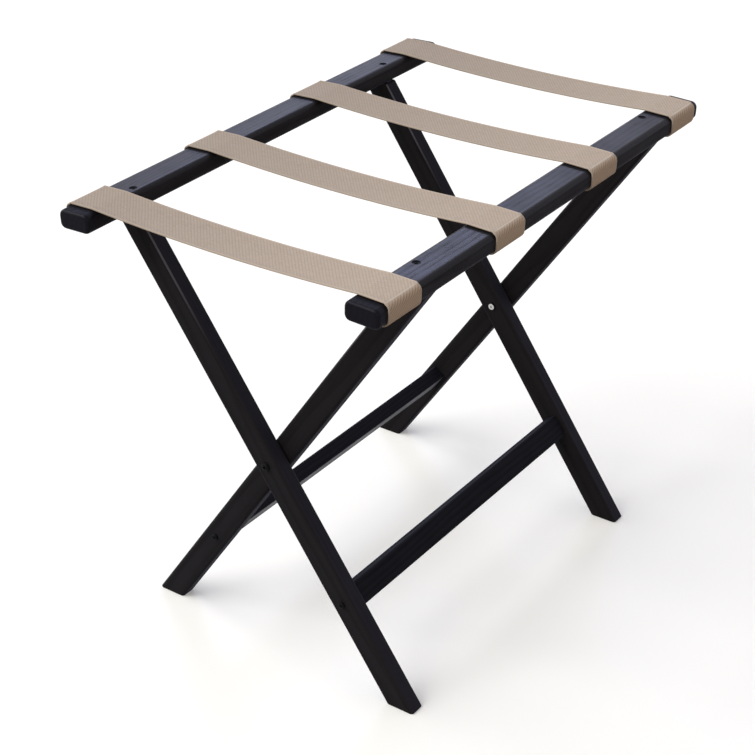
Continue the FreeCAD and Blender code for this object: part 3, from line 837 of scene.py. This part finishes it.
@dataclass
class Strap:
    """A webbing strap, stapled under both rails and carried over their tops."""

    node: str
    rail: RailSection
    thickness: float = 0.0018
    clearance: float = 0.0003
    crease_radius: float = 0.0056
    crease_turn: float = math.pi * 0.43
    under: float = 0.027
    sag: float = 0.005
    edge_lift: float = 0.0012
    curl: tuple[float, ...] = (0.55, 0.3, 0.15)
    tight: float = 0.003
    stapled: float = 0.004
    rows: int = 20
    few_steps: int = 3
    top_steps: int = 6
    corner_steps: int = 8
    sag_steps: int = 44
    selvage_radius: float = 0.0007
    selvage_angle: float = math.radians(60)
    smooth_angle: float = math.radians(50)
    map_name: str = "weave_lay"
    width: float = field(init=False)
    middle: float = field(init=False)
    length: float = field(init=False, default=0.0)

    def __post_init__(self) -> None:
        """Takes the strap's width and its place along the rack from its CAD node."""
        low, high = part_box(self.node)
        self.width = high.y - low.y
        self.middle = (low.y + high.y) / 2

    @property
    def offset(self) -> float:
        """How far the strap's middle layer is from the wood."""
        return self.clearance + self.thickness / 2

    @property
    def bend(self) -> float:
        """The radius of the strap's middle layer over a rail's inner edge."""
        return self.rail.edge_radius + self.offset

    @property
    def fold(self) -> tuple[float, float]:
        """How far across and up the crease over a rail's outer edge has its centre."""
        across = self.rail.width / 2 + self.offset - self.crease_radius
        up = self.rail.thickness / 2 + self.offset - self.crease_radius
        return across, up

    def crease_at(self) -> float:
        """How far from the strap's end the crease over the rail's outer edge is."""
        tail = self.under - self.rail.width / 2 + self.rail.reach
        side = self.bend * math.pi / 2 + self.rail.rise + self.fold[1]
        return tail + side + self.crease_radius * self.crease_turn

    def slope(self) -> float:
        """The angle at which the strap leaves the rail, so that it sags as far as it does."""
        corner = self.rail.point(self.rail.reach, self.rail.rise)
        slope = 0.0
        for _ in range(8):
            reach = -corner.x - self.rail.edge_radius * math.sin(slope)
            slope = 2 * math.atan(self.sag / reach)
        return slope

    def leaving(self) -> Vector:
        """Where the strap leaves the left rail's rounded inner edge."""
        corner = self.rail.point(self.rail.reach, self.rail.rise, self.middle)
        slope = self.slope()
        return corner + Vector((math.sin(slope), 0, math.cos(slope))) * self.bend

    def build(self) -> Piece:
        """Models the strap: half its middle layer, its mirror image, then its thickness.

        Returns:
            The finished strap, at the origin.
        """
        piece = self._tail()
        self._wrap()
        bpy.ops.object.mode_set(mode="OBJECT")
        apply_modifier(piece, "MIRROR", use_axis=(True, False, False), merge_threshold=1e-5)
        self._lay_map(piece)
        self._lift_edges(piece)
        apply_modifier(
            piece, "SOLIDIFY", thickness=self.thickness, offset=0.0, use_even_offset=True
        )
        apply_modifier(
            piece, "BEVEL", width=self.selvage_radius, segments=3, limit_method="ANGLE",
            angle_limit=self.selvage_angle,
        )
        bpy.ops.object.mode_set(mode="EDIT")
        bpy.ops.mesh.select_all(action="SELECT")
        bpy.ops.mesh.remove_doubles(threshold=1e-6)
        bpy.ops.mesh.normals_make_consistent(inside=False)
        bpy.ops.object.mode_set(mode="OBJECT")
        bpy.ops.object.shade_smooth_by_angle(angle=self.smooth_angle)
        return piece

    def _tail(self) -> Piece:
        """The flat run that is stapled under the left rail, in edit mode."""
        first = -self.rail.width / 2 + self.under
        last = -self.rail.reach
        up = -self.rail.thickness / 2 - self.offset
        deselect_all()
        bpy.ops.mesh.primitive_grid_add(
            x_subdivisions=self.few_steps, y_subdivisions=self.rows, size=1.0,
            location=self.rail.point((first + last) / 2, up, self.middle),
            rotation=(0.0, -self.rail.tilt, 0.0),
        )
        piece = bpy.context.object
        piece.name = piece.data.name = f"{self.node}_webbing"
        piece.scale = (first - last, self.width, 1.0)
        bpy.ops.object.transform_apply(location=True, rotation=True, scale=True)
        bpy.ops.object.mode_set(mode="EDIT")
        outer = min(vertex.co.x for vertex in bmesh.from_edit_mesh(piece.data).verts)
        select_edges(piece, lambda a, b: max(a.x, b.x) < outer + 1e-5)
        return piece

    def _turn(self, centre: Vector, angle: float, steps: int) -> None:
        """Carries the selected end of the strap round a centre.

        Args:
            centre: The centre.
            angle: How far it is turned, in radians.
            steps: How many steps it is turned in.
        """
        bpy.ops.mesh.spin(
            steps=steps, angle=angle, center=(centre.x, 0, centre.z), axis=(0, -1, 0)
        )

    def _run(self, start: Vector, end: Vector, steps: int) -> None:
        """Carries the selected end of the strap straight on.

        Args:
            start: Where the run starts.
            end: Where it ends.
            steps: How many equal lengths it is made of.
        """
        for _ in range(steps):
            bpy.ops.mesh.extrude_region_move(
                TRANSFORM_OT_translate={"value": (end - start) / steps}
            )

    def _wrap(self) -> None:
        """Carries the tail's selected outer end round the rail, and on to the rack's middle."""
        rail, quarter, off = self.rail, math.pi / 2, self.offset
        side = rail.width / 2 + off
        top = rail.thickness / 2 + off
        across, up = self.fold
        slope = self.slope()
        self._turn(rail.point(-rail.reach, -rail.rise), quarter, self.corner_steps)
        self._run(rail.point(-side, -rail.rise), rail.point(-side, up), self.few_steps)
        self._turn(rail.point(-across, up), quarter, self.corner_steps)
        self._run(rail.point(-across, top), rail.point(rail.reach, top), self.top_steps)
        self._turn(rail.point(rail.reach, rail.rise), slope + rail.tilt, self.few_steps)
        leaving = self.leaving()
        sweep = -leaving.x / math.sin(slope)
        hub = Vector((0, 0, leaving.z + sweep * math.cos(slope)))
        self._turn(hub, -slope, self.sag_steps)

    def _lay_map(self, piece: Piece) -> None:
        """Gives the middle layer its map: the distance across and along, in metres.

        Args:
            piece: The strap's whole middle layer, in object mode.
        """
        mesh = piece.data
        row_of = [(round(v.co.x * MICRONS), round(v.co.z * MICRONS)) for v in mesh.vertices]
        beside: dict[Row, set[Row]] = {row: set() for row in row_of}
        for edge in mesh.edges:
            first, second = (row_of[index] for index in edge.vertices)
            if first != second:
                beside[first].add(second)
                beside[second].add(first)
        ends = sorted(row for row, near in beside.items() if len(near) == 1)
        along, here, last = {ends[0]: 0.0}, ends[0], None
        while here != ends[1]:
            step = next(row for row in beside[here] if row != last)
            along[step] = along[here] + math.dist(here, step) / MICRONS
            here, last = step, here
        self.length = along[here]
        layer = mesh.uv_layers.new(name=self.map_name)
        for loop in mesh.loops:
            vertex = mesh.vertices[loop.vertex_index]
            lengthwise = along[row_of[vertex.index]] - self.length / 2
            layer.data[loop.index].uv = (vertex.co.y - self.middle, lengthwise)
        for other in [each for each in mesh.uv_layers if each.name != self.map_name]:
            mesh.uv_layers.remove(other)

    def _lift_edges(self, piece: Piece) -> None:
        """Lifts the middle layer's two long edges a little off the wood, as webbing curls.

        They stay flat where the strap is stapled, up to that height on the rails, and where
        it is tight, as far in as that from the rails' outer edges.

        Args:
            piece: The strap's middle layer, in object mode.
        """
        bpy.ops.object.mode_set(mode="EDIT")
        bpy.ops.mesh.select_all(action="SELECT")
        bpy.ops.mesh.normals_make_consistent(inside=False)
        mesh = bmesh.from_edit_mesh(piece.data)
        top = max(mesh.faces, key=lambda face: face.calc_center_median().z)
        outwards = 1.0 if top.normal.z > 0 else -1.0
        column = self.width / self.rows
        low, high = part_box("right_rail")
        side, bottom = high.x - self.tight, low.z + self.stapled
        for place, share in enumerate(self.curl):
            rim = self.width / 2 - (place + 0.1) * column
            select_edges(
                piece,
                lambda a, b, rim=rim: min(a.z, b.z) > bottom
                and max(abs(a.x), abs(b.x)) < side
                and min(abs(a.y - self.middle), abs(b.y - self.middle)) > rim,
            )
            bpy.ops.transform.shrink_fatten(value=outwards * share * self.edge_lift)
        bpy.ops.object.mode_set(mode="OBJECT")

    def dress(self, piece: Piece, material: Material) -> None:
        """Gives the strap its webbing, hides its CAD node and bakes its place into the mesh.

        Args:
            piece: The finished strap.
            material: The webbing.
        """
        give(piece, material)
        start = self.leaving()
        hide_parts(self.node)
        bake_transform(piece)


@dataclass
class Straps:
    """The four straps from front to back."""

    effects: Effects
    nodes: tuple[str, ...] = (
        "front_strap", "front_middle_strap", "back_middle_strap", "back_strap",
    )
    finish: TanWebbing = TanWebbing()

    def build(self) -> list[Piece]:
        """Models and dresses all four.

        Returns:
            The finished straps.
        """
        low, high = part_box("left_rail")
        rail = RailSection(centre=(low + high) / 2)
        pieces = []
        for node in self.nodes:
            strap = Strap(node, rail)
            piece = strap.build()
            strap.dress(piece, self.finish.material(Coat(piece.name, self.effects), strap))
            log.info("%s: %.3f m of webbing", piece.name, strap.length)
            pieces.append(piece)
        return pieces


@dataclass
class WoodFrames:
    """The rails, legs and rungs of both frames, which are CAD nodes."""

    effects: Effects
    finish: StainedWood = StainedWood()
    rung_finish: StainedWood = StainedWood(
        stain=(0.003, 0.0028, 0.0042), pale_band=(0.007, 0.0066, 0.0086),
        upper_side_sheen=(0.0044, 0.0042, 0.006), roughness=0.76, under_roughness=0.44,
        arris_roughness=0.8,
    )
    plank_step: Vector = field(default_factory=lambda: Vector((0.83, 0.191, 0.137)))
    no_end: float = 1.0
    nodes: tuple[str, ...] = (
        "left_rail", "right_rail", "left_frame_rung", "right_frame_rung",
        "left_frame_front_leg", "left_frame_back_leg",
        "right_frame_back_leg", "right_frame_front_leg",
    )

    def dress(self) -> list[Piece]:
        """Gives each piece its own stretch of grain.

        Returns:
            The dressed nodes.
        """
        pieces = []
        for place, node in enumerate(self.nodes):
            run = GrainRun.of(node)
            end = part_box(node)[1].y if node.endswith("_rail") else self.no_end
            finish = self.rung_finish if node.endswith("_rung") else self.finish
            coat = Coat(f"{node}_wood", self.effects)
            material = finish.material(coat, run, self.plank_step * place, end)
            pieces.append(give(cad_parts[node], material))
        return pieces


@dataclass
class Fasteners:
    """The screws, bolts, nuts, washers, dowels and staples, which are CAD nodes."""

    effects: Effects
    black: Metal = Metal((0.003, 0.003, 0.004), (0.05, 0.05, 0.055), 0.46, 0.0, specular=0.07)
    zinc: Metal = Metal((0.58, 0.58, 0.57), (0.78, 0.78, 0.77), 0.26, 1.0)
    wire: Metal = Metal((0.55, 0.55, 0.56), (0.75, 0.75, 0.75), 0.34, 1.0)
    nylon: Plastic = Plastic()
    beech: BareBeech = BareBeech()

    def dress(self) -> list[Piece]:
        """Gives every fastener its finish.

        Returns:
            The dressed nodes.
        """
        effects = self.effects
        low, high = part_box("front_pivot_nut")
        pivot = (low + high) / 2
        finishes = {
            "_screws": self.black.material(Coat("black_steel", effects)),
            "_bolt": self.black.material(Coat("black_bolt", effects)),
            "_nut": self.zinc.material(Coat("zinc_plate", effects), pivot),
            "_washer": self.nylon.material(Coat("nylon", effects)),
            "_dowels": self.beech.material(Coat("beech", effects)),
            "_staples": self.wire.material(Coat("staple_wire", effects)),
        }
        return [
            give(piece, material)
            for node, piece in sorted(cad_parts.items())
            for ending, material in finishes.items() if node.endswith(ending)
        ]


# ---- The studio ----


@dataclass(frozen=True)
class Lamp:
    """A soft, far lamp. Its strength is the light that falls on a surface square to it."""

    name: str
    azimuth: float
    elevation: float
    spread: float
    strength: float
    colour: Colour = WHITE
    distance: float = 3.0

    def build(self, target: Vector) -> None:
        """Hangs the lamp.

        Args:
            target: The point that it looks at.
        """
        away = direction(self.azimuth, self.elevation)
        turn = away.to_track_quat("Z", "Y").to_euler()
        deselect_all()
        bpy.ops.object.light_add(
            type="SUN", location=target + away * self.distance, rotation=turn
        )
        lamp = bpy.context.object
        lamp.name = self.name
        lamp.data.energy = self.strength
        lamp.data.angle = math.radians(self.spread)
        lamp.data.color = self.colour


def direction(azimuth: float, elevation: float) -> Vector:
    """The way from the rack to a lamp or a camera.

    Args:
        azimuth: Its turn in degrees, from straight in front of the rack towards +X.
        elevation: Its height in degrees above the level.

    Returns:
        A vector of length 1.
    """
    turn, lift = math.radians(azimuth), math.radians(elevation)
    level = math.cos(lift)
    return Vector((math.sin(turn) * level, -math.cos(turn) * level, math.sin(lift)))


@dataclass
class Studio:
    """A pale floor, soft lamps, a white surround and the camera."""

    lamps: tuple[Lamp, ...] = (
        Lamp("key_lamp", -32.0, 43.0, 42.0, 1.62),
        Lamp("left_lamp", -80.0, 42.0, 42.0, 1.18),
        Lamp("back_lamp", 216.0, 32.0, 20.0, 0.7, (0.56, 0.63, 1.0)),
        Lamp("side_lamp", 95.0, 38.0, 60.0, 0.26, (1.0, 0.8, 0.62)),
        Lamp("wide_lamp", 145.0, 26.0, 50.0, 0.22, (0.58, 0.56, 1.0)),
        Lamp("front_lamp", 42.0, 16.0, 14.0, 0.3, (1.0, 0.84, 0.68)),
    )
    surround: float = 0.28
    floor_colour: Colour = (0.872, 0.864, 0.822)
    floor_bounce: Colour = (0.15, 0.12, 0.09)
    floor_lift: float = 0.19
    floor_size: float = 40.0
    azimuth: float = 36.17
    elevation: float = 31.03
    roll: float = -0.73
    distance: float = 1.93311
    target: Vector = field(default_factory=lambda: Vector((0.0, -0.06897, 0.21008)))
    focal_pixels: float = 1791.44
    sensor_width: float = 36.0
    clip: Span = (0.05, 100.0)
    shift: tuple[float, float] = (0.0215, 0.0578)

    def build(self) -> None:
        """Sets up the whole studio."""
        self._floor()
        self._surround()
        for lamp in self.lamps:
            lamp.build(self.target)
        self._camera()
        bpy.context.scene.view_settings.view_transform = "Standard"

    def _floor(self) -> None:
        """A wide floor that shows white to the camera and keeps the rack's shadow."""
        deselect_all()
        bpy.ops.mesh.primitive_plane_add(size=self.floor_size, location=(0, 0, 0))
        floor = bpy.context.object
        floor.name = "studio_floor"
        material = bpy.data.materials.new("floor_paper")
        material.use_nodes = True
        nodes = Nodes(material.node_tree)
        paper = nodes.read("BsdfDiffuse", {"Color": self.floor_colour})
        unseen = nodes.read("BsdfDiffuse", {"Color": self.floor_bounce})
        lit = nodes.read("Emission", {"Color": WHITE, "Strength": self.floor_lift})
        both = nodes.read("AddShader", {0: paper, 1: lit})
        chosen = nodes.read("MixShader", {0: self._seen(nodes), 1: unseen, 2: both})
        nodes.add("OutputMaterial", {"Surface": chosen})
        floor.data.materials.append(material)

    def _seen(self, nodes: Nodes) -> Wire:
        """1 for rays of the camera, of gloss and of glass, and 0 for all others.

        Args:
            nodes: The tree that asks.

        Returns:
            The mask.
        """
        path = nodes.wires(nodes.add("LightPath"))
        sharp = nodes.math("MAXIMUM", path["Is Glossy Ray"], path["Is Transmission Ray"])
        return nodes.math("MAXIMUM", path["Is Camera Ray"], sharp)

    def _surround(self) -> None:
        """A white surround that lights the rack less than it shows."""
        world = bpy.data.worlds.new("studio")
        world.use_nodes = True
        bpy.context.scene.world = world
        nodes = Nodes(world.node_tree)
        soft = nodes.read("Background", {"Color": WHITE, "Strength": self.surround})
        white = nodes.read("Background", {"Color": WHITE, "Strength": 1.0})
        chosen = nodes.read("MixShader", {0: self._seen(nodes), 1: soft, 2: white})
        nodes.add("OutputWorld", {"Surface": chosen})

    def _camera(self) -> None:
        """The camera in front of the rack, to its right and above it."""
        back = direction(self.azimuth, self.elevation)
        level = back.to_track_quat("Z", "Y")
        rolled = level @ Quaternion((0, 0, 1), math.radians(self.roll))
        deselect_all()
        bpy.ops.object.camera_add(
            location=self.target + back * self.distance, rotation=rolled.to_euler()
        )
        camera = bpy.context.object
        camera.name = "studio_camera"
        camera.data.sensor_width = self.sensor_width
        camera.data.lens = self.focal_pixels / IMAGE_WIDTH * self.sensor_width
        camera.data.shift_x, camera.data.shift_y = self.shift
        camera.data.clip_start, camera.data.clip_end = self.clip
        bpy.context.scene.camera = camera


def main() -> None:
    """Builds the rack's looks and the studio, and reports each piece."""
    logging.basicConfig(level=logging.INFO, format="%(name)s: %(message)s")
    effects = Effects()
    pieces = Straps(effects).build()
    pieces += WoodFrames(effects).dress()
    pieces += Fasteners(effects).dress()
    for piece in pieces:
        log.info("%s: %d faces, %s", piece.name, len(piece.data.polygons),
                 piece.data.materials[0].name)
    Studio().build()


if __name__ == "__main__":
    main()
